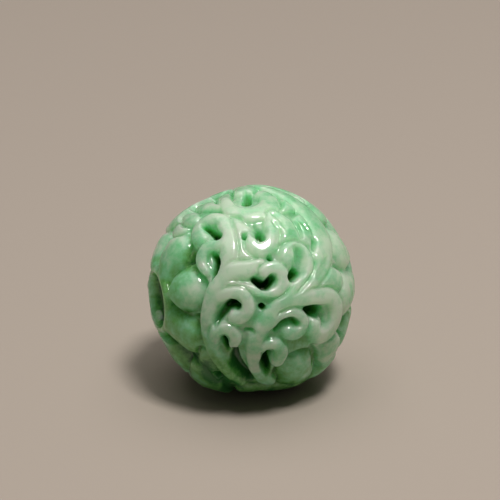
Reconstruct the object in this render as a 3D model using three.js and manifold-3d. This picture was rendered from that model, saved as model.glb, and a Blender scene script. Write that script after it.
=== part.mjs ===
// A hollow jade bead with a pierced scroll carving and a flower round the cord hole at each end.
// The bore runs along X, Z is up, and the bead rests on a small flat spot at the origin.
import * as THREE from "three";
import { ConvexHull } from "three/addons/math/ConvexHull.js";
import { mergeVertices } from "three/addons/utils/BufferGeometryUtils.js";
import Module from "manifold-3d";

const wasm = await Module();
wasm.setup();

// Driving dimensions of the bead, in millimetres.
const BEAD_RADIUS = 9;
const CAVITY_RADIUS = 6.3;
const BORE_RADIUS = 1.5;
const SEAT_RADIUS = 2;
const SEAT_FROM_CENTRE = 7.5;
const SEAT_WALL_SLOPE = 8;
const SEAT_WALL_WIDTH = 0.16;
const REST_CUT = 0.22;
const SEAT_ANGLE = Math.atan2(SEAT_RADIUS, SEAT_FROM_CENTRE);
const SEAT_RIM_ANGLE = Math.asin(Math.sin(SEAT_ANGLE) + SEAT_WALL_WIDTH / BEAD_RADIUS);

// Depths and slopes of the carving, measured down from the round of the bead. UNCUT in place of a groove
// leaves the stone beside a stroke as it was.
const GROUND = 0.6;
const ROLL = 0.3;
const CROWN_POWER = 2;
const GROOVE = 0.45;
const UNCUT = -1;
const FLANK_SLOPE = 4;
const BANK_SLOPE = 2;
const MERGE_LIFT = 2;
const MERGE_LENGTH = 1.4;
const EDGE_DROP = 0.45;
const WALL_SLOPE = 10;
const PIERCED_BELOW = 0.8;

// How closely the surface is faceted.
const CURL_STEP = 30;
const STATION_STEP = 0.64;
const RIM_STEP = 0.42;
const RIM_SLANT = 0.14;
const RIM_CLEARANCE = 0.1;
const FOOT_CLEARANCE = 0.08;
const LEAST_HALF = 0.04;
const SEAT_MARGIN = 0.03;
const GROOVE_OFFSET = 0.12;
const SEED_CLEARANCE = 0.2;
const FILL_CLEARANCE = 0.7;
const FILL_COUNT = 3000;
const BROAD_HALF = 0.9;
const BROAD_SHOULDERS = [0.4, 0.8];
const NARROW_SHOULDERS = [0.7];
const CAP_TURNS = [0, 45, 90, 135, 180];
const OWN_SHARE = 0.9;
const SEAT_FACETS = 20;
const BORE_FACETS = 24;
const CAVITY_DETAIL = 4;
const WELD = 1e-5;

// Where the ball isn't quite round: the place, how far the swelling reaches and how much it rises.
const SWELLS = [
  { at: [30, -55], reach: 5.5, rise: 0.55 },
  { at: [-33, -75], reach: 5, rise: 0.55 },
  { at: [-14, 119], reach: 4.5, rise: -0.3 },
];

// The two flowers: plump petals round the recess at each end, a hollow between the tips of each two, and a
// smooth collar that the petals grow out of.
const PETALS = 7;
const FLOWERS = [
  { side: -1, around: 32, roll: 0.95, gapDepth: 1.6 },
  { side: 1, around: 58, roll: 0.6, gapDepth: 0.8 },
];
const PETAL = { along: [73, 55], width: [4.2, 3.9, 3.9, 4.3], power: 2.8, groove: 0.1 };
const PETAL_GAP = { along: [58, 49], width: [0.25, 1.1], wall: 2 };
const COLLAR = {
  along: 73.4,
  step: 30,
  width: [1.2, 1.2],
  level: -0.1,
  roll: 0.25,
  power: 2.6,
  groove: UNCUT,
};

// Scrolls and leaves, lowest first. A stem runs through places given in degrees along the bore and around
// it from the front. A curl then winds round its eye, from a start angle through a sweep, both in degrees,
// while its radius changes evenly. Widths and radii are millimetres, widths spread evenly over the length.
// Turns are the half turns about the bore at which a stroke is repeated.
const BOTH = [0, 180];
const SCROLLS = [
  {
    name: "low leaf right",
    stem: [[35, -19], [38.5, -33], [36, -50]],
    width: [1.4, 3, 2],
    level: -0.1,
    merge: 0,
  },
  { name: "bud", stem: [[12.5, -32], [14.5, -46]], width: [3.8, 4.2], roll: 0.9, power: 2.4, merge: 0 },
  {
    name: "low leaf left",
    stem: [[-43, -25], [-40, -36], [-33, -50]],
    width: [1, 2.2, 1.4],
    level: -0.25,
    merge: 0,
  },
  { name: "under leaf left", stem: [[-42, -50], [-35, -62], [-22, -72]], width: [2, 3.2, 2], merge: 0 },
  { name: "under leaf right", stem: [[38, -52], [31, -64], [20, -74]], width: [2.2, 3.4, 2], merge: 0 },
  { name: "under leaf middle", stem: [[-12, -56], [2, -61], [14, -58]], width: [2, 3.4, 2.4], merge: 0 },
  { name: "back knob", stem: [[-46, 101], [-43, 93]], width: [1.7, 1.5], level: -0.2, merge: 0 },
  {
    name: "back leaf left",
    stem: [[-38, 106], [-37, 99], [-36, 91]],
    width: [1, 1.7, 1.4],
    level: -0.2,
    merge: 0,
  },
  {
    name: "back leaf inner",
    stem: [[-27, 108], [-22, 97], [-17.5, 88]],
    width: [1.2, 2.2, 1.4],
    level: -0.25,
    merge: 0,
  },
  { name: "back leaf middle", stem: [[-3, 97], [1, 104], [4, 116]], width: [1.8, 2.4, 1.2], merge: 0 },
  {
    name: "back leaf right",
    stem: [[3, 119], [18, 110], [32, 104], [43, 94]],
    width: [2, 3.8, 4, 3],
    merge: 0,
  },
  { name: "top leaf", stem: [[30, 92], [22, 83], [14, 77.5], [8, 74]], width: [1.4, 2.1, 2, 1], merge: 0 },
  { name: "crown stem", stem: [[-6, 118], [-12, 106], [-14.5, 95]], width: [1, 1.4, 1.3], level: -0.3 },
  {
    name: "crown curl",
    stem: [[-14.5, 93]],
    curl: { eye: [-4, 84.5], radius: [1.8, 2.1], start: 180, sweep: 210 },
    width: [1, 1.5, 1.9, 2.1, 1.9, 1.5],
    level: -0.1,
  },
  { name: "fan leaf right", stem: [[20, 44], [22, 54], [23.5, 63], [29, 71]], width: [1.4, 2.3, 2, 1] },
  { name: "fan leaf left", stem: [[13, 45], [12, 54], [10, 63], [7, 69]], width: [1.4, 2.2, 2.2, 1.2] },
  {
    name: "upper web",
    stem: [[-18, 67], [-16, 57], [-16, 46]],
    width: [2, 2.8, 2.6],
    level: -0.1,
    groove: UNCUT,
    merge: 0,
  },
  {
    name: "left stem",
    stem: [[-18, -45], [-26.5, -36], [-38, -19], [-42.7, 2], [-39.5, 19.5], [-31, 35], [-23.5, 51]],
    curl: { eye: [-30.5, 70.5], radius: [1.4, 1.15], start: -5, sweep: 205 },
    width: [1.2, 1.4, 1.3, 1.15, 1.5, 1.9, 1.7, 1.45, 1.35, 1.6],
  },
  {
    name: "right web",
    stem: [[22, 25], [33, 24], [42, 23]],
    width: [2, 3.2, 2.2],
    level: -0.05,
    groove: UNCUT,
    merge: 0,
  },
  {
    name: "right stem",
    stem: [
      [-2, -43], [-8, -37], [-14, -22], [-14.2, -5], [-4, 10],
      [15, 22.5], [31, 38], [36, 57], [29, 78], [8, 104],
    ],
    width: [1.2, 1.3, 1.4, 1.7, 1.8, 2.1, 2.5, 2.4, 1.8, 0.8],
  },
  {
    name: "right scroll",
    stem: [[6, 15], [17, 16]],
    curl: { eye: [28, -1.5], radius: [2.35, 1.15], start: 95, sweep: -275 },
    width: [1.2, 1.4, 1.6, 1.8, 1.8, 1.4],
    merge: 2.2,
  },
  {
    name: "lower curl",
    stem: [[-11.5, -11.5], [-7, -8.6], [-2, -9.8], [0.8, -15], [-0.6, -22]],
    width: [0.7, 1, 1.2, 1.4, 1.3],
  },
  {
    name: "inner curl",
    stem: [[-7, 3], [-1, 7]],
    curl: { eye: [7, 1], radius: [1.25, 0.7], start: 105, sweep: -225 },
    width: [0.8, 0.8, 1, 1.3, 1.4],
  },
  {
    name: "crook",
    stem: [[-1, 15], [11, 25.5]],
    curl: { eye: [12, 39.5], radius: [1.5, 0.45], start: -50, sweep: 235 },
    width: [1, 1.1, 1.2, 1.4, 1.6],
    merge: 2.2,
  },
  {
    name: "middle leaf",
    stem: [[-33, 34], [-24, 37], [-15, 37], [-8, 39]],
    width: [1.6, 1.8, 1.6, 0.9],
    merge: 1.8,
  },
  {
    name: "eye curl",
    stem: [[5, 68.5], [3.2, 62], [2, 55], [-1.2, 49.2], [-6, 47], [-10, 50], [-9.9, 55.5]],
    width: [0.9, 1.2, 1.35, 1.5, 1.6, 1.35, 0.9],
    merge: 2,
  },
  {
    name: "heart curl",
    stem: [[-36, 27], [-27, 28.5], [-17, 26]],
    curl: { eye: [-3, 30], radius: [1.35, 0.8], start: -120, sweep: 245 },
    width: [1.2, 0.9, 0.8, 0.8, 1, 1.2, 1.2],
    merge: 1.8,
  },
  {
    name: "left hook",
    stem: [[-38, 22], [-30, 24]],
    curl: { eye: [-25, 15.5], radius: [1.3, 0.95], start: 75, sweep: -176 },
    width: [1.2, 1.1, 1.1, 1.2, 1.3],
    merge: 1.6,
  },
  {
    name: "left low curl",
    stem: [[-38, -18]],
    curl: { eye: [-31.5, -6], radius: [1, 0.92], start: 185, sweep: -225 },
    width: [1, 1.1, 1.15, 1.2, 0.95],
    merge: 1.8,
  },
  {
    name: "left lobe",
    stem: [[-24, 57]],
    curl: { eye: [-32.5, 49.5], radius: [1.2, 1.4], start: 75, sweep: 145 },
    width: [1.1, 1.2, 1.1, 0.8],
  },
  { name: "resting boss", stem: [[-4, -90], [4, -90]], width: [4.2, 4.2], roll: 0.1, merge: 0, turns: [0] },
];

// Piercings and blind hollows, as curved slots. A slot without a depth opens into the cavity, and one with a
// wall slopes to its bottom instead of standing steep.
const SLOTS = [
  { stem: [[-32.5, 76.5], [-30, 71], [-27.5, 63.5]], width: [0.35, 0.7, 0.9], depth: 1.7, wall: 5 },
  { stem: [[-32.5, 51.5], [-32, 46], [-34, 40], [-37, 35]], width: [0.6, 0.85, 0.65, 0.25] },
  { stem: [[-5, 59.5], [-4.5, 56], [-4.6, 54.3]], width: [0.6, 0.85, 0.85], depth: 1.5, wall: 5 },
  { stem: [[-13, 58.5], [-13.5, 56.5]], width: [0.45, 0.45] },
  { stem: [[-2.2, 41.8], [-1.6, 41.2]], width: [0.5, 0.5] },
  { stem: [[-13, 30.4], [-7.5, 26.4], [-2.4, 30]], width: [0.7, 0.95, 0.8] },
  { stem: [[-1, 92], [-4.4, 84.8]], width: [0.7, 1.1], depth: 1.6, wall: 4, turns: [0] },
  { stem: [[8.8, 29.2], [11.6, 31.6]], width: [0.95, 1] },
  { stem: [[-31, 15.5], [-27, 17.6], [-24, 16]], width: [0.7, 0.95, 0.7] },
  { stem: [[-31, 14.5], [-34.5, 10], [-37.5, 3.5]], width: [1, 0.95, 0.5], depth: 1.4, wall: 3 },
  { stem: [[-20, 0.5], [-16.5, 0.5]], width: [0.5, 0.4], depth: 1, wall: 3 },
  { stem: [[-10.5, 14.7], [-10.1, 14.3]], width: [0.65, 0.65] },
  { stem: [[-32.5, -7.5], [-30.5, -12], [-29.5, -15]], width: [0.6, 0.7, 0.5] },
  {
    stem: [[-25.5, -14], [-24.5, -24], [-19.5, -33], [-13, -43]],
    width: [0.7, 1.4, 1.4, 1.1],
    depth: 1.4,
    wall: 2.5,
  },
  { stem: [[-33, -43], [-31, -46]], width: [0.5, 0.6], depth: 1.6 },
  { stem: [[-6.5, -16], [-8.4, -21], [-6.5, -27.5], [-4.4, -33.5]], width: [0.6, 0.95, 0.9, 0.5] },
  { stem: [[-3, -0.5], [1, 3.5], [6, 4.3], [10, 2]], width: [0.5, 0.75, 0.8, 0.5], depth: 1.2, wall: 4 },
  { stem: [[16.2, 8.9], [21, 7], [25.5, 5]], width: [0.6, 1.2, 1.3] },
  { stem: [[21, -18], [24.5, -27], [25, -36]], width: [0.5, 0.9, 0.8], depth: 1, wall: 2.5 },
  { stem: [[43, -18], [46, -26], [49, -34]], width: [0.4, 0.5, 0.4], depth: 1.4 },
];

// Unit direction of a place on the bead.
function onBead([along, around]) {
  const a = THREE.MathUtils.degToRad(along);
  const b = THREE.MathUtils.degToRad(around);
  return new THREE.Vector3(Math.sin(a), -Math.cos(a) * Math.cos(b), Math.cos(a) * Math.sin(b));
}

// Radius of the uncarved ball in a direction.
function ballRadius(direction) {
  return SWELLS.reduce((radius, { at, reach, rise }) => {
    const away = (direction.distanceTo(onBead(at)) * BEAD_RADIUS) / reach;
    return radius + rise * Math.max(1 - away ** 2, 0) ** 2;
  }, BEAD_RADIUS);
}

// Unit directions along a curl, stepping out from its eye by a radius that changes evenly with the sweep.
function curlDirections({ eye, radius, start, sweep }) {
  const centre = onBead(eye);
  const around = centre.clone().cross(new THREE.Vector3(1, 0, 0)).normalize();
  const along = around.clone().cross(centre);
  const steps = Math.max(2, Math.round(Math.abs(sweep) / CURL_STEP));
  return Array.from({ length: steps + 1 }, (_, index) => {
    const share = index / steps;
    const angle = THREE.MathUtils.degToRad(start + sweep * share);
    const reach = THREE.MathUtils.lerp(radius[0], radius[1], share) / BEAD_RADIUS;
    const outward = along.clone().multiplyScalar(Math.cos(angle)).addScaledVector(around, Math.sin(angle));
    return centre.clone().multiplyScalar(Math.cos(reach)).addScaledVector(outward, Math.sin(reach));
  });
}

// A width list spread evenly over a length, read at a share of that length.
function widthAt(widths, share) {
  const place = share * (widths.length - 1);
  const index = Math.min(Math.floor(place), widths.length - 2);
  return THREE.MathUtils.lerp(widths[index], widths[index + 1], place - index);
}

// The stations of a stroke at one of its turns: direction, sideways direction, half width, distance walked.
function courseOf(stroke, turn, step) {
  const axis = new THREE.Vector3(1, 0, 0);
  const angle = THREE.MathUtils.degToRad(turn);
  const knots = [...stroke.stem.map(onBead), ...(stroke.curl ? curlDirections(stroke.curl) : [])];
  knots.forEach((knot) => knot.applyAxisAngle(axis, angle));
  const curve = new THREE.CatmullRomCurve3(knots, false, "catmullrom", 0.5);
  const length = curve.getLength() * BEAD_RADIUS;
  const count = Math.max(2, Math.round(length / step));
  return Array.from({ length: count + 1 }, (_, index) => {
    const share = index / count;
    const centre = curve.getPointAt(share).normalize();
    const sideways = centre.clone().cross(curve.getTangentAt(share)).normalize();
    return { centre, sideways, half: widthAt(stroke.width, share) / 2, walked: length * share };
  });
}

// How far a direction lies from a course, the half width there and the distance walked to that place.
function nearest(stations, direction) {
  const found = { gap: Infinity, half: 1, walked: 0 };
  const leg = new THREE.Vector3();
  const reach = new THREE.Vector3();
  for (let i = 0; i + 1 < stations.length; i += 1) {
    const from = stations[i];
    const to = stations[i + 1];
    leg.subVectors(to.centre, from.centre);
    reach.subVectors(direction, from.centre);
    const share = THREE.MathUtils.clamp(reach.dot(leg) / leg.lengthSq(), 0, 1);
    const gap = reach.addScaledVector(leg, -share).length() * BEAD_RADIUS;
    const half = THREE.MathUtils.lerp(from.half, to.half, share);
    if (gap - half < found.gap - found.half) {
      found.gap = gap;
      found.half = half;
      found.walked = THREE.MathUtils.lerp(from.walked, to.walked, share);
    }
  }
  return found;
}

// The petals of both flowers as short broad strokes, with the collar over the inner ends of each flower.
function flowerStrokes() {
  const once = { merge: 0, turns: [0] };
  return FLOWERS.flatMap(({ side, around, roll }) => {
    const petals = Array.from({ length: PETALS }, (_, index) => ({
      ...PETAL,
      ...once,
      roll,
      stem: PETAL.along.map((along) => [side * along, around + (index * 360) / PETALS]),
    }));
    const steps = 360 / COLLAR.step;
    const ring = Array.from({ length: steps + 1 }, (_, index) => [side * COLLAR.along, index * COLLAR.step]);
    return [...petals, { ...COLLAR, ...once, stem: ring }];
  });
}

// The hollows between the tips of the petals.
function flowerSlots() {
  return FLOWERS.flatMap(({ side, around, gapDepth }) =>
    Array.from({ length: PETALS }, (_, index) => ({
      ...PETAL_GAP,
      depth: gapDepth,
      stem: PETAL_GAP.along.map((along) => [side * along, around + ((index + 0.5) * 360) / PETALS]),
      turns: [0],
    })),
  );
}

// Every stroke at every turn, lowest first, with its course laid out.
function laidOut(strokes, step) {
  const cut = { level: 0, roll: ROLL, power: CROWN_POWER, groove: GROOVE, merge: MERGE_LENGTH };
  return strokes.flatMap((given) => {
    const stroke = { ...cut, wall: WALL_SLOPE, turns: BOTH, ...given };
    return stroke.turns.map((turn) => ({ ...stroke, stations: courseOf(stroke, turn, step) }));
  });
}

const STROKES = laidOut([...flowerStrokes(), ...SCROLLS], STATION_STEP);
const HOLLOWS = laidOut([...flowerSlots(), ...SLOTS], RIM_STEP);

// Radius of the carved surface in a direction, before it is pierced.
function surfaceRadius(direction) {
  let height = -GROUND;
  for (const stroke of STROKES) {
    const { gap, half, walked } = nearest(stroke.stations, direction);
    const beyond = gap - half;
    const rounding = stroke.roll * Math.min(gap / half, 1) ** stroke.power;
    const crown = stroke.level - rounding - FLANK_SLOPE * Math.max(beyond, 0);
    const joining = stroke.merge > 0 ? MERGE_LIFT * Math.max(1 - walked / stroke.merge, 0) : 0;
    const bank = stroke.level - stroke.roll - stroke.groove + BANK_SLOPE * beyond + joining;
    height = Math.max(Math.min(height, bank), crown);
  }
  const alongBore = Math.abs(direction.x);
  const acrossBore = Math.hypot(direction.y, direction.z);
  const pastSeat = Math.max(acrossBore - Math.sin(SEAT_ANGLE), 0) * BEAD_RADIUS;
  const recess = SEAT_FROM_CENTRE / Math.max(alongBore, Number.EPSILON) + SEAT_WALL_SLOPE * pastSeat;
  return Math.min(ballRadius(direction) + height, recess);
}

// A direction stepped sideways from a station by a distance on the bead's round.
function aside(station, distance) {
  return station.centre.clone().addScaledVector(station.sideways, distance / BEAD_RADIUS).normalize();
}

// The outline of a hollow, drawn in by an inset: down one side, round the end and back up the other. Each
// place has the distance by which it was drawn in, which is less where the hollow is narrow.
function outlineOf(stations, inset) {
  const outline = [];
  const first = stations[0];
  const last = stations[stations.length - 1];
  const ends = [
    { station: last, sign: 1 },
    { station: first, sign: -1 },
  ];
  for (const { station, sign } of ends) {
    const run = sign > 0 ? stations : [...stations].reverse();
    for (const each of run) {
      const offset = Math.max(each.half - inset, LEAST_HALF);
      outline.push({ direction: aside(each, sign * offset), drawnIn: each.half - offset });
    }
    const ahead = station.sideways.clone().cross(station.centre).multiplyScalar(sign);
    const tip = Math.max(station.half - inset, LEAST_HALF);
    const direction = station.centre.clone().addScaledVector(ahead, tip / BEAD_RADIUS).normalize();
    outline.push({ direction, drawnIn: station.half - tip });
  }
  return outline;
}

// Places across a stroke that hold its profile: the crown, the shoulders and the groove on both sides,
// and the same round its free end.
function profileSeeds(stations) {
  const seeds = [];
  const last = stations[stations.length - 1];
  for (const station of stations) {
    const ahead = station.sideways.clone().cross(station.centre);
    const turns = station === last ? CAP_TURNS : [0, 180];
    const shoulders = station.half > BROAD_HALF ? BROAD_SHOULDERS : NARROW_SHOULDERS;
    const offsets = [...shoulders.map((share) => share * station.half), station.half + GROOVE_OFFSET];
    seeds.push({ direction: station.centre, offset: 0 });
    for (const turn of turns) {
      const angle = THREE.MathUtils.degToRad(turn);
      const towards = station.sideways.clone().multiplyScalar(Math.cos(angle));
      towards.addScaledVector(ahead, Math.sin(angle));
      for (const offset of offsets) {
        const direction = station.centre.clone().addScaledVector(towards, offset / BEAD_RADIUS).normalize();
        seeds.push({ direction, offset });
      }
    }
  }
  return seeds;
}

// Points on the carved surface, each with its radius, kept apart by a clearance.
function surfaceSeeds() {
  const seeds = [];
  const inHollow = (direction, margin) =>
    HOLLOWS.some(({ stations }) => {
      const { gap, half } = nearest(stations, direction);
      return gap < half + margin;
    });
  const place = (direction, clearance, radius) => {
    const chord = clearance / BEAD_RADIUS;
    if (seeds.some((seed) => seed.direction.distanceTo(direction) < chord)) return;
    seeds.push({ direction, radius: radius ?? surfaceRadius(direction) });
  };
  for (const side of [-1, 1]) {
    place(new THREE.Vector3(side, 0, 0), 0);
    for (const angle of [SEAT_ANGLE, SEAT_RIM_ANGLE]) {
      for (let i = 0; i < SEAT_FACETS; i += 1) {
        const around = (i * 360) / SEAT_FACETS;
        place(onBead([side * (90 - THREE.MathUtils.radToDeg(angle)), around]), 0);
      }
    }
  }
  for (const { stations, depth, wall } of HOLLOWS) {
    const slant = depth ? Math.max((depth - EDGE_DROP) / wall, RIM_SLANT) : RIM_SLANT;
    outlineOf(stations, 0).forEach(({ direction }) => place(direction, RIM_CLEARANCE));
    for (const { direction, drawnIn } of outlineOf(stations, slant)) {
      const blind = ballRadius(direction) - Math.min(depth, EDGE_DROP + wall * drawnIn);
      place(direction, FOOT_CLEARANCE, depth ? blind : CAVITY_RADIUS - PIERCED_BELOW);
    }
  }
  for (let index = STROKES.length - 1; index >= 0; index -= 1) {
    const { stations } = STROKES[index];
    const above = STROKES.slice(index + 1);
    for (const { direction, offset } of profileSeeds(stations)) {
      if (nearest(stations, direction).gap < OWN_SHARE * offset) continue;
      const covered = above.some((stroke) => {
        const { gap, half, walked } = nearest(stroke.stations, direction);
        return gap < half + GROOVE_OFFSET && walked > stroke.merge;
      });
      if (covered || inHollow(direction, SEED_CLEARANCE)) continue;
      if (Math.abs(direction.x) > Math.cos(SEAT_RIM_ANGLE + SEAT_MARGIN)) continue;
      place(direction, SEED_CLEARANCE);
    }
  }
  const goldenTurn = Math.PI * (3 - Math.sqrt(5));
  for (let i = 0; i < FILL_COUNT; i += 1) {
    const z = 1 - (2 * i + 1) / FILL_COUNT;
    const ring = Math.sqrt(1 - z * z);
    const direction = new THREE.Vector3(ring * Math.cos(i * goldenTurn), ring * Math.sin(i * goldenTurn), z);
    if (Math.abs(direction.x) > Math.cos(SEAT_RIM_ANGLE)) continue;
    if (!inHollow(direction, SEED_CLEARANCE)) place(direction, FILL_CLEARANCE);
  }
  return seeds;
}

// The carved outside: the seeds are joined as neighbours on a sphere, then moved out to their radii.
function carvedOutside() {
  const seeds = surfaceSeeds();
  const hull = new ConvexHull().setFromPoints(seeds.map((seed) => seed.direction));
  const radiusOf = new Map(seeds.map((seed) => [seed.direction, seed.radius]));
  const positions = [];
  for (const face of hull.faces) {
    let edge = face.edge;
    do {
      const direction = edge.head().point;
      positions.push(...direction.clone().multiplyScalar(radiusOf.get(direction)).toArray());
      edge = edge.next;
    } while (edge !== face.edge);
  }
  const geometry = new THREE.BufferGeometry();
  geometry.setAttribute("position", new THREE.Float32BufferAttribute(positions, 3));
  return geometry;
}

// A closed geometry as a solid that can be cut.
function solid(geometry) {
  const bare = geometry.clone();
  bare.deleteAttribute("normal");
  bare.deleteAttribute("uv");
  const welded = mergeVertices(bare, WELD);
  return new wasm.Manifold(
    new wasm.Mesh({
      numProp: 3,
      vertProperties: new Float32Array(welded.attributes.position.array),
      triVerts: new Uint32Array(welded.index.array),
    }),
  );
}

// A cut solid back as a drawable geometry.
function drawable(cut) {
  const mesh = cut.getMesh();
  const geometry = new THREE.BufferGeometry();
  geometry.setAttribute("position", new THREE.BufferAttribute(mesh.vertProperties, 3));
  geometry.setIndex(new THREE.BufferAttribute(mesh.triVerts, 1));
  return geometry;
}

// The bead: the carved outside, hollowed, bored along X and cut flat below.
function beadGeometry() {
  const span = 4 * BEAD_RADIUS;
  const cavity = new THREE.IcosahedronGeometry(CAVITY_RADIUS, CAVITY_DETAIL);
  const bore = new THREE.CylinderGeometry(BORE_RADIUS, BORE_RADIUS, span, BORE_FACETS).rotateZ(Math.PI / 2);
  const below = new THREE.BoxGeometry(span, span, span).translate(0, 0, REST_CUT - BEAD_RADIUS - span / 2);
  const carved = solid(carvedOutside()).subtract(solid(cavity)).subtract(solid(bore)).subtract(solid(below));
  return drawable(carved).translate(0, 0, BEAD_RADIUS - REST_CUT);
}

const jade = new THREE.MeshStandardMaterial({ color: 0x9fd3a8, roughness: 0.2, metalness: 0 });
const bead = new THREE.Mesh(beadGeometry(), jade);
bead.name = "bead";

const root = new THREE.Group();
root.add(bead);

export default root;
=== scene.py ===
import bpy
import math
import numpy as np
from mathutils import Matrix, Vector


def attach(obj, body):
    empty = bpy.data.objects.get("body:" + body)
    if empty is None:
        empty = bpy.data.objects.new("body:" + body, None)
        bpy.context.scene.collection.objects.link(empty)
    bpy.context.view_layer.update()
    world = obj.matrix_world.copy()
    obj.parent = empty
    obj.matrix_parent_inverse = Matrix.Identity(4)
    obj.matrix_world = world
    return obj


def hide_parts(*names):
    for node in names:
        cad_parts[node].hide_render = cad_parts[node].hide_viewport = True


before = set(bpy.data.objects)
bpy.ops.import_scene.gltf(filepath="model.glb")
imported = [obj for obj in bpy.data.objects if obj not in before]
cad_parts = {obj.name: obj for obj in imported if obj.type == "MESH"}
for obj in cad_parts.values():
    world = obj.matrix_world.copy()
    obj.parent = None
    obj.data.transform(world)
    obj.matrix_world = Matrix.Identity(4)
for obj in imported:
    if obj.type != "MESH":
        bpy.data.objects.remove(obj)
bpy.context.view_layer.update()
mm = 0.001
bpy.ops.object.select_all(action="DESELECT")
print("frame loaded:", ", ".join(sorted(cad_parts)))

# bead: places on the ball are (along, around) in degrees, along from the middle towards
# the right hand end of the cord hole, around from the front upwards; sizes in mm
beadSet = {
    "radius": 9.0,
    "cavity": 6.3,
    "bore": 1.5,
    "boreCutter": 36.0,  # longer than the bead, so that it cuts right through
    "seat": {"along": 7.5, "radius": 2.0, "wall": 8, "rounding": 0.2, "leastAlong": 0.001},
    "restCut": 0.22,
    # where the ball isn't quite round: place, reach and rise
    "swells": [(30, -55, 5.5, 0.55), (-33, -75, 5.0, 0.55), (-14, 119, 4.5, -0.3)],
    "halves": [0, 180],  # turns on the cord at which the carving is repeated
    "ground": 0.5,  # how far the plain ground lies under the scrolls
    "roll": 0.32,  # fall of a scroll from crown to edge
    "power": 4.5,  # how flat the crown of a scroll is
    "edgeFall": 4,  # slope of a scroll's side, mm down for each mm out
    "groove": 0.3,  # cut beside a scroll, below its edge
    "bankRise": 2,  # slope of the cut's outer bank
    "merge": 1.4,  # length over which a scroll grows out of its parent
    "mergeLift": 2,  # how far the cut is lifted where it does
    "scrollMargin": 3.2,  # how far from a scroll's middle the cut can reach
    "edgeDrop": 0.45,  # where the wall of a piercing starts
    "wall": 10,  # slope of that wall
    "through": 3.6,
    "piercingMargin": 2,
    "spanSteps": 24,  # points between two knots of a stem
    "fineStep": 0.22,  # length of a piece of the finished course
    "curlStep": 30,  # degrees
    "fewestSteps": 2,
    "blankLevels": 8,
    "hollowLevels": 6,
    "boreSides": 96,
    "voxel": 0.09,
    "softening": {"factor": 0.5, "iterations": 3},
    "triangles": 196000,
    "smoothAngle": 50,
}

# a flower of domed petals round each end of the cord hole
flowerSet = {
    "petals": 7,
    "ends": {  # where the first petal points, and how plump the petals are
        -1: {"first": 32, "roll": 0.95, "gapDepth": 1.6},
        1: {"first": 58, "roll": 0.6, "gapDepth": 0.8},
    },
    "along": (73, 55),
    "width": [4.2, 3.9, 3.9, 4.3],
    "power": 2.8,
    "groove": 0.1,
    "gap": {"along": (58, 45.5), "width": [0.25, 1.3], "wall": 2},  # between two tips
    # smooth ring that the petals grow out of, round the recess
    "collar": {"along": 73.4, "width": [1.2, 1.2], "level": -0.1, "roll": 0.25, "power": 2.6,
               "groove": -1, "merge": 0},
    "collarStep": 30,  # degrees
}

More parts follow.
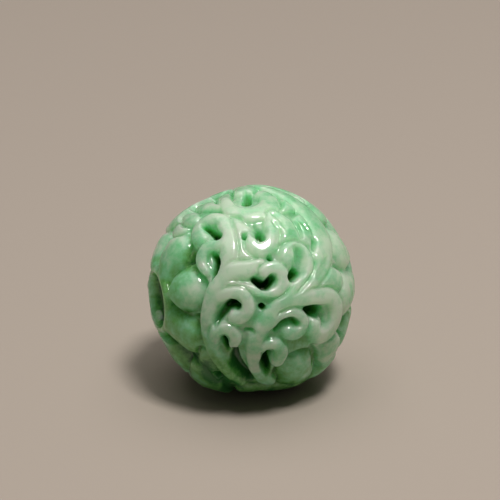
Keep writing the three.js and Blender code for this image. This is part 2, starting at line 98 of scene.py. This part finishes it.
# the scrolls of one half, lowest first; the other half is the same after half a turn on the cord
scrolls = {
    "lowLeafRight": {
        "stem": [(35, -19), (38.5, -33), (36, -50)],
        "width": [1.4, 3.0, 2.0], "level": -0.1, "merge": 0},
    "bud": {
        "stem": [(12.5, -32), (14.5, -46)],
        "width": [3.8, 4.2], "roll": 0.9, "power": 2.4, "merge": 0},
    "lowLeafLeft": {
        "stem": [(-43, -25), (-40, -36), (-33, -50)],
        "width": [1.0, 2.2, 1.4], "level": -0.25, "merge": 0},
    "underLeafLeft": {
        "stem": [(-42, -50), (-35, -62), (-22, -72)],
        "width": [2.0, 3.2, 2.0], "merge": 0},
    "underLeafRight": {
        "stem": [(38, -52), (31, -64), (20, -74)],
        "width": [2.2, 3.4, 2.0], "merge": 0},
    "underLeafMiddle": {
        "stem": [(-12, -56), (2, -61), (14, -58)],
        "width": [2.0, 3.4, 2.4], "merge": 0},
    "backKnob": {"stem": [(-46, 101), (-43, 93)], "width": [1.7, 1.5], "level": -0.2, "merge": 0},
    "backLeafLeft": {
        "stem": [(-38, 106), (-37, 99), (-36, 91)],
        "width": [1.0, 1.7, 1.4], "level": -0.2, "merge": 0},
    "backLeafInner": {
        "stem": [(-27, 108), (-22, 97), (-17.5, 88)],
        "width": [1.2, 2.2, 1.4], "level": -0.25, "merge": 0},
    "backLeafMiddle": {
        "stem": [(-3, 97), (1, 104), (4, 116)],
        "width": [1.8, 2.4, 1.2], "merge": 0},
    "backLeafRight": {
        "stem": [(3, 119), (18, 110), (32, 104), (43, 94)],
        "width": [2.0, 3.8, 4.0, 3.0], "merge": 0},
    "topLeaf": {
        "stem": [(30, 92), (22, 83), (14, 77.5), (8, 74)],
        "width": [1.4, 2.1, 2.0, 1.0], "merge": 0},
    "crownStem": {
        "stem": [(-6, 118), (-12, 106), (-14.5, 95)],
        "width": [1.0, 1.4, 1.3], "level": -0.3},
    "crownCurl": {
        "stem": [(-14.5, 93)],
        "width": [1.0, 1.5, 1.9, 2.1, 1.9, 1.5],
        "curl": {"eye": (-4, 84.5), "radius": (1.8, 2.1), "start": 180, "sweep": 210}, "level": -0.1},
    "fanLeafRight": {
        "stem": [(20, 44), (22, 54), (23.5, 63), (29, 71)],
        "width": [1.4, 2.3, 2.0, 1.0]},
    "fanLeafLeft": {"stem": [(13, 45), (12, 54), (10, 63), (7, 69)], "width": [1.4, 2.2, 2.2, 1.2]},
    "upperWeb": {
        "stem": [(-18, 67), (-16, 57), (-16, 46)],
        "width": [2.0, 2.8, 2.6], "level": -0.1, "merge": 0},
    "leftStem": {
        "stem": [(-18, -45), (-26.5, -36), (-38, -19), (-42.7, 2), (-39.5, 19.5), (-31, 35), (-23.5, 51)],
        "width": [1.2, 1.4, 1.3, 1.15, 1.5, 1.9, 1.7, 1.45, 1.35, 1.6],
        "curl": {"eye": (-30.5, 70.5), "radius": (1.4, 1.15), "start": -5, "sweep": 205}, "groove": 0.1},
    "rightWeb": {
        "stem": [(22, 25), (33, 24), (42, 23)],
        "width": [2.0, 3.2, 2.2], "level": -0.05, "merge": 0},
    "rightStem": {
        "stem": [(-2, -43), (-8, -37), (-14, -22), (-14.2, -5), (-4, 10), (15, 22.5),
                 (31, 38), (36, 57), (29, 78), (8, 104)],
        "width": [1.2, 1.3, 1.4, 1.7, 1.8, 2.1, 2.5, 2.4, 1.8, 0.8], "groove": 0.08},
    "rightScroll": {
        "stem": [(6, 15), (17, 16)],
        "width": [1.2, 1.4, 1.6, 1.8, 1.8, 1.4],
        "curl": {"eye": (28, -1.5), "radius": (2.35, 1.15), "start": 95, "sweep": -275}, "merge": 2.2},
    "lowerCurl": {
        "stem": [(-11.5, -11.5), (-7, -8.6), (-2, -9.8), (0.8, -15), (-0.6, -22)],
        "width": [0.7, 1.0, 1.2, 1.4, 1.3]},
    "innerCurl": {
        "stem": [(-7, 3), (-1, 7)],
        "width": [0.8, 0.8, 1.0, 1.3, 1.4],
        "curl": {"eye": (7, 1), "radius": (1.25, 0.7), "start": 105, "sweep": -225}},
    "crook": {
        "stem": [(-1, 15), (11, 25.5)],
        "width": [1.0, 1.1, 1.2, 1.4, 1.6],
        "curl": {"eye": (12, 39.5), "radius": (1.5, 0.45), "start": -50, "sweep": 235}, "merge": 2.2},
    "middleLeaf": {
        "stem": [(-33, 34), (-24, 37), (-15, 37), (-8, 39)],
        "width": [1.6, 1.8, 1.6, 0.9], "merge": 1.8},
    "eyeCurl": {
        "stem": [(5, 68.5), (3.2, 62), (2, 55), (-1.2, 49.2), (-6, 47), (-10, 50), (-9.9, 55.5)],
        "width": [0.9, 1.2, 1.35, 1.5, 1.6, 1.35, 0.9], "merge": 2.0},
    "heartCurl": {
        "stem": [(-36, 27), (-27, 28.5), (-17, 26)],
        "width": [1.2, 0.9, 0.8, 0.8, 1.0, 1.2, 1.2],
        "curl": {"eye": (-3, 30), "radius": (1.35, 0.8), "start": -120, "sweep": 245}, "merge": 1.8},
    "leftHook": {
        "stem": [(-38, 22), (-30, 24)],
        "width": [1.2, 1.1, 1.1, 1.2, 1.3],
        "curl": {"eye": (-25, 15.5), "radius": (1.3, 0.95), "start": 75, "sweep": -176}, "merge": 1.6},
    "leftLowCurl": {
        "stem": [(-38, -18)],
        "width": [1.0, 1.1, 1.15, 1.2, 0.95],
        "curl": {"eye": (-31.5, -6), "radius": (1.0, 0.92), "start": 185, "sweep": -225}, "merge": 1.8},
    "leftLobe": {
        "stem": [(-24, 57)],
        "width": [1.1, 1.2, 1.1, 0.8],
        "curl": {"eye": (-32.5, 49.5), "radius": (1.2, 1.4), "start": 75, "sweep": 145}},
    "restingBoss": {
        "stem": [(-4, -90), (4, -90)],
        "width": [4.2, 4.2], "roll": 0.1, "merge": 0, "turns": [0]},
}

# piercings go through to the hollow unless they say how deep they are
piercings = [
    {"stem": [(-32.5, 76.5), (-30, 71), (-27.5, 63.5)], "width": [0.35, 0.7, 0.9], "depth": 1.7, "wall": 5},
    {"stem": [(-32.5, 51.5), (-32, 46), (-34, 40), (-37, 35)], "width": [0.6, 0.85, 0.65, 0.25]},
    {"stem": [(-5, 59.5), (-4.5, 56), (-4.6, 54.3)], "width": [0.6, 0.85, 0.85], "depth": 1.5, "wall": 5},
    {"stem": [(-6, 63.5), (-5, 58)], "width": [0.5, 1.1], "depth": 0.9, "wall": 1.2},
    {"stem": [(-13, 58.5), (-13.5, 56.5)], "width": [0.45, 0.45]},
    {"stem": [(-2.2, 41.8), (-1.6, 41.2)], "width": [0.5, 0.5]},
    {"stem": [(-13, 30.4), (-7.5, 26.4), (-2.4, 30)], "width": [0.7, 0.95, 0.8]},
    {"stem": [(-1, 92), (-4.4, 84.8)], "width": [0.7, 1.1], "depth": 1.6, "wall": 4, "turns": [0]},
    {"stem": [(8.8, 29.2), (11.6, 31.6)], "width": [0.95, 1.0]},
    {"stem": [(12.5, 33), (15.2, 38.5), (15, 44.5)], "width": [1.0, 0.8, 0.5], "depth": 0.6, "wall": 1.2},
    {"stem": [(26, 45.5), (27.5, 51)], "width": [0.4, 0.5], "depth": 0.9, "wall": 3},
    {"stem": [(-31, 15.5), (-27, 17.6), (-24, 16)], "width": [0.7, 0.95, 0.7]},
    {"stem": [(-31, 14.5), (-34.5, 10), (-37.5, 3.5)], "width": [1.0, 0.95, 0.5], "depth": 1.4, "wall": 3},
    {"stem": [(-20, 0.5), (-16.5, 0.5)], "width": [0.5, 0.4], "depth": 1.0, "wall": 3},
    {"stem": [(-10.5, 14.7), (-10.1, 14.3)], "width": [0.65, 0.65]},
    {"stem": [(-32.5, -7.5), (-30.5, -12), (-29.5, -15)], "width": [0.6, 0.7, 0.5]},
    {"stem": [(-25.5, -14), (-24.5, -24), (-19.5, -33), (-13, -43)],
     "width": [0.7, 1.4, 1.4, 1.1], "depth": 1.4, "wall": 2.5},
    {"stem": [(-33, -43), (-31, -46)], "width": [0.5, 0.6], "depth": 1.6},
    {"stem": [(-6.5, -16), (-8.4, -21), (-6.5, -27.5), (-4.4, -33.5)], "width": [0.6, 0.95, 0.9, 0.5]},
    {"stem": [(-3, -0.5), (1, 3.5), (6, 4.3), (10, 2)],
     "width": [0.5, 0.75, 0.8, 0.5], "depth": 1.2, "wall": 4},
    {"stem": [(16.2, 8.9), (21, 7), (25.5, 5)], "width": [0.6, 1.2, 1.3]},
    {"stem": [(27, 5.5), (29.5, 0.5), (29.5, -4)], "width": [1.0, 0.9, 0.5], "depth": 0.95, "wall": 2},
    {"stem": [(21, -18), (24.5, -27), (25, -36)], "width": [0.5, 0.9, 0.8], "depth": 1.0, "wall": 2.5},
    {"stem": [(43, -18), (46, -26), (49, -34)], "width": [0.4, 0.5, 0.4], "depth": 1.4},
]

# fine lines cut along the leaves and the broad part of the stem
veinSet = {"width": [0.1, 0.1], "depth": 0.13, "wall": 4}
veins = [
    [(-9, 73.2), (-3, 72.4), (3.5, 71)],
    [(-10, 67.8), (-4, 67), (2, 65.2)],
    [(5.5, 68.5), (8.6, 64), (10, 58.5)],
    [(4.2, 63), (6.2, 57), (7, 50.5)],
    [(18.5, 66), (22, 62.5), (24, 58)],
    [(21, 27), (27.5, 32.5), (32.5, 40)],
    [(24, 26.5), (30.5, 32.5), (35, 41)],
]


def onBall(along, around):
    a, b = math.radians(along), math.radians(around)
    return np.array([math.sin(a), -math.cos(a) * math.cos(b), math.cos(a) * math.sin(b)])


def curlKnots(curl):
    eye = onBall(*curl["eye"])
    upwards = np.cross(eye, (1, 0, 0))
    upwards /= np.linalg.norm(upwards)
    sideways = np.cross(upwards, eye)
    steps = max(beadSet["fewestSteps"], round(abs(curl["sweep"]) / beadSet["curlStep"]))
    knots = []
    for share in np.linspace(0, 1, steps + 1):
        turn = math.radians(curl["start"] + curl["sweep"] * share)
        reach = np.interp(share, (0, 1), curl["radius"]) / beadSet["radius"]
        heading = math.cos(turn) * sideways + math.sin(turn) * upwards
        knots.append(math.cos(reach) * eye + math.sin(reach) * heading)
    return knots


# a smooth run (a Catmull-Rom curve) through the stem and its curl: directions, half widths and
# lengths walked
def courseOf(stroke):
    knots = [onBall(*place) for place in stroke["stem"]]
    if "curl" in stroke:
        knots += curlKnots(stroke["curl"])
    knots = [2 * knots[0] - knots[1]] + knots + [2 * knots[-1] - knots[-2]]
    t = np.linspace(0, 1, beadSet["spanSteps"], endpoint=False)[:, None]
    run = []
    for a, b, c, d in zip(knots, knots[1:], knots[2:], knots[3:]):
        bend = 2 * a - 5 * b + 4 * c - d
        run.append(b + 0.5 * ((c - a) * t + bend * t ** 2 + (3 * b - a - 3 * c + d) * t ** 3))
    run = np.vstack(run + [knots[-2][None]])
    run /= np.linalg.norm(run, axis=1)[:, None]
    walked = np.append(0, np.cumsum(np.linalg.norm(np.diff(run, axis=0), axis=1))) * beadSet["radius"]
    steps = max(beadSet["fewestSteps"], round(walked[-1] / beadSet["fineStep"]))
    at = np.linspace(0, walked[-1], steps + 1)
    line = np.stack([np.interp(at, walked, run[:, axis]) for axis in range(3)], axis=1)
    line /= np.linalg.norm(line, axis=1)[:, None]
    widths = stroke["width"]
    half = np.interp(at / at[-1], np.linspace(0, 1, len(widths)), widths) / 2
    return line, half, at


# which points lie near the course, and for those the gap to it, the half width and the length there
def measured(points, stroke, margin):
    line, half, at = courseOf(stroke)
    middle = line.mean(axis=0)
    middle /= np.linalg.norm(middle)
    reach = math.acos((line @ middle).min()) + margin / beadSet["radius"]
    close = points @ middle > math.cos(min(math.pi, reach))
    near = points[close]
    best = np.full(len(near), np.inf)
    gap, width, along = np.zeros((3, len(near)))
    for i in range(len(line) - 1):
        step = line[i + 1] - line[i]
        share = np.clip((near - line[i]) @ step / (step @ step), 0, 1)
        off = np.linalg.norm(near - line[i] - share[:, None] * step, axis=1) * beadSet["radius"]
        here = half[i] + share * (half[i + 1] - half[i])
        nearer = off - here < best
        best[nearer] = (off - here)[nearer]
        gap[nearer] = off[nearer]
        width[nearer] = here[nearer]
        along[nearer] = (at[i] + share * (at[i + 1] - at[i]))[nearer]
    return close, gap, width, along


def carveScroll(height, points, stroke):
    close, gap, half, along = measured(points, stroke, beadSet["scrollMargin"])
    level = stroke.get("level", 0)
    roll, power, groove, merge = (
        stroke.get(key, beadSet[key]) for key in ("roll", "power", "groove", "merge"))
    beyond = gap - half
    crown = level - roll * np.minimum(gap / half, 1) ** power - beadSet["edgeFall"] * np.maximum(beyond, 0)
    lift = beadSet["mergeLift"] * np.maximum(1 - along / merge, 0) if merge else 0
    bank = level - roll - groove + beadSet["bankRise"] * beyond + lift
    height[close] = np.maximum(np.minimum(height[close], bank), crown)


def carvePiercing(height, points, stroke):
    close, gap, half, _ = measured(points, stroke, beadSet["piercingMargin"])
    wall = -beadSet["edgeDrop"] + stroke.get("wall", beadSet["wall"]) * (gap - half)
    bottom = -stroke.get("depth", beadSet["through"])
    height[close] = np.minimum(height[close], np.maximum(wall, bottom))


def applyModifier(kind, **settings):
    piece = bpy.context.view_layer.objects.active
    modifier = piece.modifiers.new(kind.title(), kind)
    for key, value in settings.items():
        setattr(modifier, key, value)
    bpy.ops.object.modifier_apply(modifier=modifier.name)


# blank ball, with every vertex pushed along its own direction to the carved height
bpy.ops.mesh.primitive_ico_sphere_add(subdivisions=beadSet["blankLevels"], radius=beadSet["radius"])
bead = bpy.context.object
bead.name = bead.data.name = "carved_bead"
ball = np.empty(len(bead.data.vertices) * 3)
bead.data.vertices.foreach_get("co", ball)
ball = ball.reshape(-1, 3) / beadSet["radius"]
turned = ball * (1, -1, -1)
height = np.full(len(ball), -beadSet["ground"])
for end, flower in flowerSet["ends"].items():
    for k in range(flowerSet["petals"]):
        around = flower["first"] + k * 360 / flowerSet["petals"]
        petal = {"stem": [(end * along, around) for along in flowerSet["along"]], "merge": 0}
        carveScroll(height, ball, {**flowerSet, **flower, **petal})
    for k in range(flowerSet["petals"]):
        around = flower["first"] + (k + 0.5) * 360 / flowerSet["petals"]
        gap = {"stem": [(end * along, around) for along in flowerSet["gap"]["along"]]}
        carvePiercing(height, ball, {**flowerSet["gap"], **gap, "depth": flower["gapDepth"]})
    collar = flowerSet["collar"]
    ring = {"stem": [(end * collar["along"], around) for around in range(0, 361, flowerSet["collarStep"])]}
    carveScroll(height, ball, {**collar, **ring})
for stroke in scrolls.values():
    for turn in stroke.get("turns", beadSet["halves"]):
        carveScroll(height, turned if turn else ball, stroke)
for stroke in piercings:
    for turn in stroke.get("turns", beadSet["halves"]):
        carvePiercing(height, turned if turn else ball, stroke)
for vein in veins:
    for points in (ball, turned):
        carvePiercing(height, points, {"stem": vein, **veinSet})
for along, around, size, rise in beadSet["swells"]:
    away = np.linalg.norm(ball - onBall(along, around), axis=1) * beadSet["radius"] / size
    height += rise * np.maximum(1 - away ** 2, 0) ** 2
reach = beadSet["radius"] + height
seat = beadSet["seat"]
seatSide = math.sin(math.atan2(seat["radius"], seat["along"]))
sideways = np.hypot(ball[:, 1], ball[:, 2])
seatWall = seat["wall"] * beadSet["radius"] * np.maximum(sideways - seatSide, 0)
seatReach = seat["along"] / np.maximum(np.abs(ball[:, 0]), seat["leastAlong"]) + seatWall
blend = np.clip(0.5 + (seatReach - reach) / (2 * seat["rounding"]), 0, 1)
reach = seatReach + (reach - seatReach) * blend - seat["rounding"] * blend * (1 - blend)
bead.data.vertices.foreach_set("co", (ball * reach[:, None]).ravel())
bead.data.update()
print("bead carved:", len(scrolls), "scrolls,", len(piercings), "piercings")

# hollow and cord hole, cut out of the carved ball
bpy.ops.mesh.primitive_ico_sphere_add(subdivisions=beadSet["hollowLevels"], radius=beadSet["cavity"])
hollow = bpy.context.object
bpy.ops.mesh.primitive_cylinder_add(
    vertices=beadSet["boreSides"], radius=beadSet["bore"], depth=beadSet["boreCutter"],
    rotation=(0, math.pi / 2, 0))
cordHole = bpy.context.object
bpy.ops.object.select_all(action="DESELECT")
bpy.context.view_layer.objects.active = bead
bead.select_set(True)
for cutter in (hollow, cordHole):
    applyModifier("BOOLEAN", object=cutter, operation="DIFFERENCE", solver="MANIFOLD")
    bpy.data.objects.remove(cutter)
applyModifier("REMESH", mode="VOXEL", voxel_size=beadSet["voxel"])
applyModifier("SMOOTH", **beadSet["softening"])
applyModifier("TRIANGULATE")
applyModifier("DECIMATE", ratio=min(1, beadSet["triangles"] / len(bead.data.polygons)))

# the small flat it rests on
floorLevel = beadSet["restCut"] - beadSet["radius"]
bpy.ops.object.mode_set(mode="EDIT")
bpy.ops.mesh.select_all(action="SELECT")
bpy.ops.mesh.bisect(plane_co=(0, 0, floorLevel), plane_no=(0, 0, 1), clear_inner=True, use_fill=True)
bpy.ops.mesh.select_all(action="SELECT")
bpy.ops.mesh.quads_convert_to_tris()
bpy.ops.object.mode_set(mode="OBJECT")
bead.scale = (mm, mm, mm)
bead.location.z = -floorLevel * mm
bpy.ops.object.transform_apply(location=True, rotation=True, scale=True)
bpy.ops.object.shade_smooth_by_angle(angle=math.radians(beadSet["smoothAngle"]))
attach(bead, "root")
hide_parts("bead")
print("bead cut and softened:", len(bead.data.polygons), "faces")


def linear(code):
    values = [int(code[i:i + 2], 16) / 255 for i in (1, 3, 5)]
    return [v / 12.92 if v <= 0.04045 else ((v + 0.055) / 1.055) ** 2.4 for v in values] + [1]


def addNode(tree, kind, settings=None, values=None, feeds=None):
    node = tree.nodes.new("ShaderNode" + kind)
    for key, value in (settings or {}).items():
        setattr(node, key, value)
    for socket, value in (values or {}).items():
        node.inputs[socket].default_value = value
    for socket, source in (feeds or {}).items():
        tree.links.new(source, node.inputs[socket])
    return node


def newMaterial(name):
    material = bpy.data.materials.new(name)
    material.use_nodes = True
    return material, material.node_tree, material.node_tree.nodes["Principled BSDF"]


# jadeite, carved and polished: cloudy stone that lets light in a few mm, pale green with apple
# green clouds, wet looking on the crowns; painted shade makes it deeper green where it is cut low
jadeSet = {
    "tones": {0: "#C0D8BD", 0.45: "#86C797", 0.75: "#6AAA5C", 1: "#2A7434"},  # pale to deep green
    # mm from the middle of the bead, and how much greener and darker the low cuts are painted: painted
    # shade in the recesses
    "low": {"from": (8.75, 7.4), "to": (0, 0.65)},
    # cloudy patches and fibrous mottling: size in mm, then how much they shift the green
    "cloud": {"size": 5.0, "detail": 3, "roughness": 0.55, "from": (0.35, 0.68), "to": (-0.05, 0.35)},
    "grain": {"size": 1.1, "detail": 4, "roughness": 0.6, "from": (0.35, 0.65), "to": (-0.18, 0.18)},
    # where the stone is greener, or paler: place on the ball, reach in mm and strength; the patches low on
    # the bead and round the cord hole are painted shade
    "cloudsAndShade": [
        # apple green and paler clouds of the stone itself, high on the bead
        (-62, 70, 6.5, 0.2), (5, 112, 6.0, 0.12), (27, 82, 5.0, 0.25), (-5, 77, 6.0, -0.15),
        # after (-8, 14): deeper green low on the front, low on the back and round both ends of the cord
        # hole, all painted shade
        (-8, 14, 3.5, 0.22), (-56, -22, 6.0, 0.4), (-36, -54, 7.0, 0.6), (4, -76, 7.5, 0.75),
        (0, -42, 9.0, 0.25), (62, -30, 5.0, 0.35), (-30, 190, 7.0, 0.35), (40, 215, 6.0, 0.3),
        (-90, 0, 4.6, 0.8), (90, 0, 4.6, 0.7),
    ],
    "ior": 1.66,
    "roughness": (0.08, 0.17),  # over the same range of the grain
    "scatter": 5.0,  # mm
    "scatterTint": (0.7, 1.0, 0.75),  # green light goes furthest in the stone
}
jade, tree, surface = newMaterial("polished_jadeite")
place = addNode(tree, "TexCoord").outputs["Object"]
centre = (0, 0, -floorLevel * mm)
depth = addNode(tree, "VectorMath", {"operation": "DISTANCE"}, {1: centre}, {0: place})
# painted shade: the deeper a point lies below the ball's surface, the greener and darker it is coloured
low = jadeSet["low"]
green = addNode(
    tree, "MapRange", {},
    {"From Min": low["from"][0] * mm, "From Max": low["from"][1] * mm,
     "To Min": low["to"][0], "To Max": low["to"][1]},
    {"Value": depth.outputs["Value"]})
for pattern in (jadeSet["cloud"], jadeSet["grain"]):
    noise = addNode(
        tree, "TexNoise", {},
        {"Scale": 1 / (pattern["size"] * mm), "Detail": pattern["detail"],
         "Roughness": pattern["roughness"]},
        {"Vector": place})
    shift = addNode(
        tree, "MapRange", {},
        {"From Min": pattern["from"][0], "From Max": pattern["from"][1],
         "To Min": pattern["to"][0], "To Max": pattern["to"][1]},
        {"Value": noise.outputs["Fac"]})
    green = addNode(tree, "Math", {"operation": "ADD"}, {}, {0: green.outputs[0], 1: shift.outputs[0]})
grain = jadeSet["grain"]
shine = addNode(
    tree, "MapRange", {},
    {"From Min": grain["from"][0], "From Max": grain["from"][1],
     "To Min": jadeSet["roughness"][0], "To Max": jadeSet["roughness"][1]},
    {"Value": noise.outputs["Fac"]})
tree.links.new(shine.outputs[0], surface.inputs["Roughness"])
# green clouds of the stone, and painted shade low on the bead and round the cord hole
for along, around, size, strength in jadeSet["cloudsAndShade"]:
    heart = Vector(onBall(along, around)) * beadSet["radius"] * mm + Vector(centre)
    away = addNode(tree, "VectorMath", {"operation": "DISTANCE"}, {1: heart}, {0: place})
    zone = addNode(tree, "MapRange", {"interpolation_type": "SMOOTHSTEP"},
                   {"From Min": size * mm, "From Max": 0, "To Min": 0, "To Max": strength},
                   {"Value": away.outputs["Value"]})
    green = addNode(tree, "Math", {"operation": "ADD"}, {}, {0: green.outputs[0], 1: zone.outputs[0]})
tone = addNode(tree, "ValToRGB", {}, {}, {"Fac": green.outputs[0]})
stops = tone.color_ramp.elements
for position in list(jadeSet["tones"])[1:-1]:
    stops.new(position)
for stop, colour in zip(stops, jadeSet["tones"].values()):
    stop.color = linear(colour)
tree.links.new(tone.outputs["Color"], surface.inputs["Base Color"])
surface.inputs["IOR"].default_value = jadeSet["ior"]
surface.inputs["Subsurface Weight"].default_value = 1
surface.inputs["Subsurface Radius"].default_value = jadeSet["scatterTint"]
surface.inputs["Subsurface Scale"].default_value = jadeSet["scatter"] * mm
bead.data.materials.clear()
bead.data.materials.append(jade)
print("jade ready")

# floor: pale warm paper, matt
floorSet = {"size": 3.0, "colour": "#ABA096", "roughness": 0.9}
bpy.ops.mesh.primitive_plane_add(size=floorSet["size"])
floor = bpy.context.object
floor.name = "floor"
paper, _, surface = newMaterial("matt_paper")
surface.inputs["Base Color"].default_value = linear(floorSet["colour"])
surface.inputs["Roughness"].default_value = floorSet["roughness"]
floor.data.materials.append(paper)

# camera: from the front, a little left and above, far enough off for the flat look of a long lens
viewSet = {
    "azimuth": -17,
    "elevation": 25,
    "distance": 0.3,
    "sensor": 36,  # mm
    "clip": (0.01, 10),
    "beadPixels": 104,  # half the bead's width in the picture
    "pixels": 500,
    "beadAt": (251, 288),
}
azimuth, elevation = math.radians(viewSet["azimuth"]), math.radians(viewSet["elevation"])
back = Vector((math.sin(azimuth) * math.cos(elevation), -math.cos(azimuth) * math.cos(elevation),
               math.sin(elevation)))
right = Vector((math.cos(azimuth), math.sin(azimuth), 0))
up = back.cross(right)
middle = Vector(centre)
bpy.ops.object.camera_add(location=middle + back * viewSet["distance"])
camera = bpy.context.object
camera.rotation_euler = back.to_track_quat("Z", "Y").to_euler()
beadRadius = beadSet["radius"] * mm
focalPixels = viewSet["beadPixels"] * math.sqrt(viewSet["distance"] ** 2 - beadRadius ** 2) / beadRadius
camera.data.sensor_width = viewSet["sensor"]
camera.data.lens = viewSet["sensor"] * focalPixels / viewSet["pixels"]
camera.data.clip_start, camera.data.clip_end = viewSet["clip"]
camera.data.shift_x = 0.5 - viewSet["beadAt"][0] / viewSet["pixels"]
camera.data.shift_y = viewSet["beadAt"][1] / viewSet["pixels"] - 0.5
bpy.context.scene.camera = camera

# lights: a small bright soft box high in front, which gives the glints, and a broad one right overhead
lightSet = {
    "key": {"towards": (0.2, 0.76, 0.62), "distance": 0.45, "size": 0.1, "power": 1.54},
    "overhead": {"towards": (0.0, 0.94, 0.28), "distance": 0.45, "size": 0.5, "power": 1.04},
}
lightColour = "#FFFDFA"
roomSet = {"colour": "#D9D2C8", "strength": 0.145, "gamma": 0.92}
for name, setting in lightSet.items():
    across, upwards, outwards = setting["towards"]  # as the camera sees it
    towards = (across * right + upwards * up + outwards * back).normalized()
    bpy.ops.object.light_add(type="AREA", location=middle + towards * setting["distance"],
                             rotation=towards.to_track_quat("Z", "Y").to_euler())
    light = bpy.context.object
    light.name = name
    light.data.size = setting["size"]
    light.data.energy = setting["power"]
    light.data.color = linear(lightColour)[:3]
room = bpy.data.worlds.new("room")
room.use_nodes = True
bpy.context.scene.world = room
backdrop = room.node_tree.nodes["Background"]
backdrop.inputs["Color"].default_value = linear(roomSet["colour"])
backdrop.inputs["Strength"].default_value = roomSet["strength"]
bpy.context.scene.view_settings.view_transform = "Standard"
bpy.context.scene.view_settings.gamma = roomSet["gamma"]
print("floor, camera and lights ready")
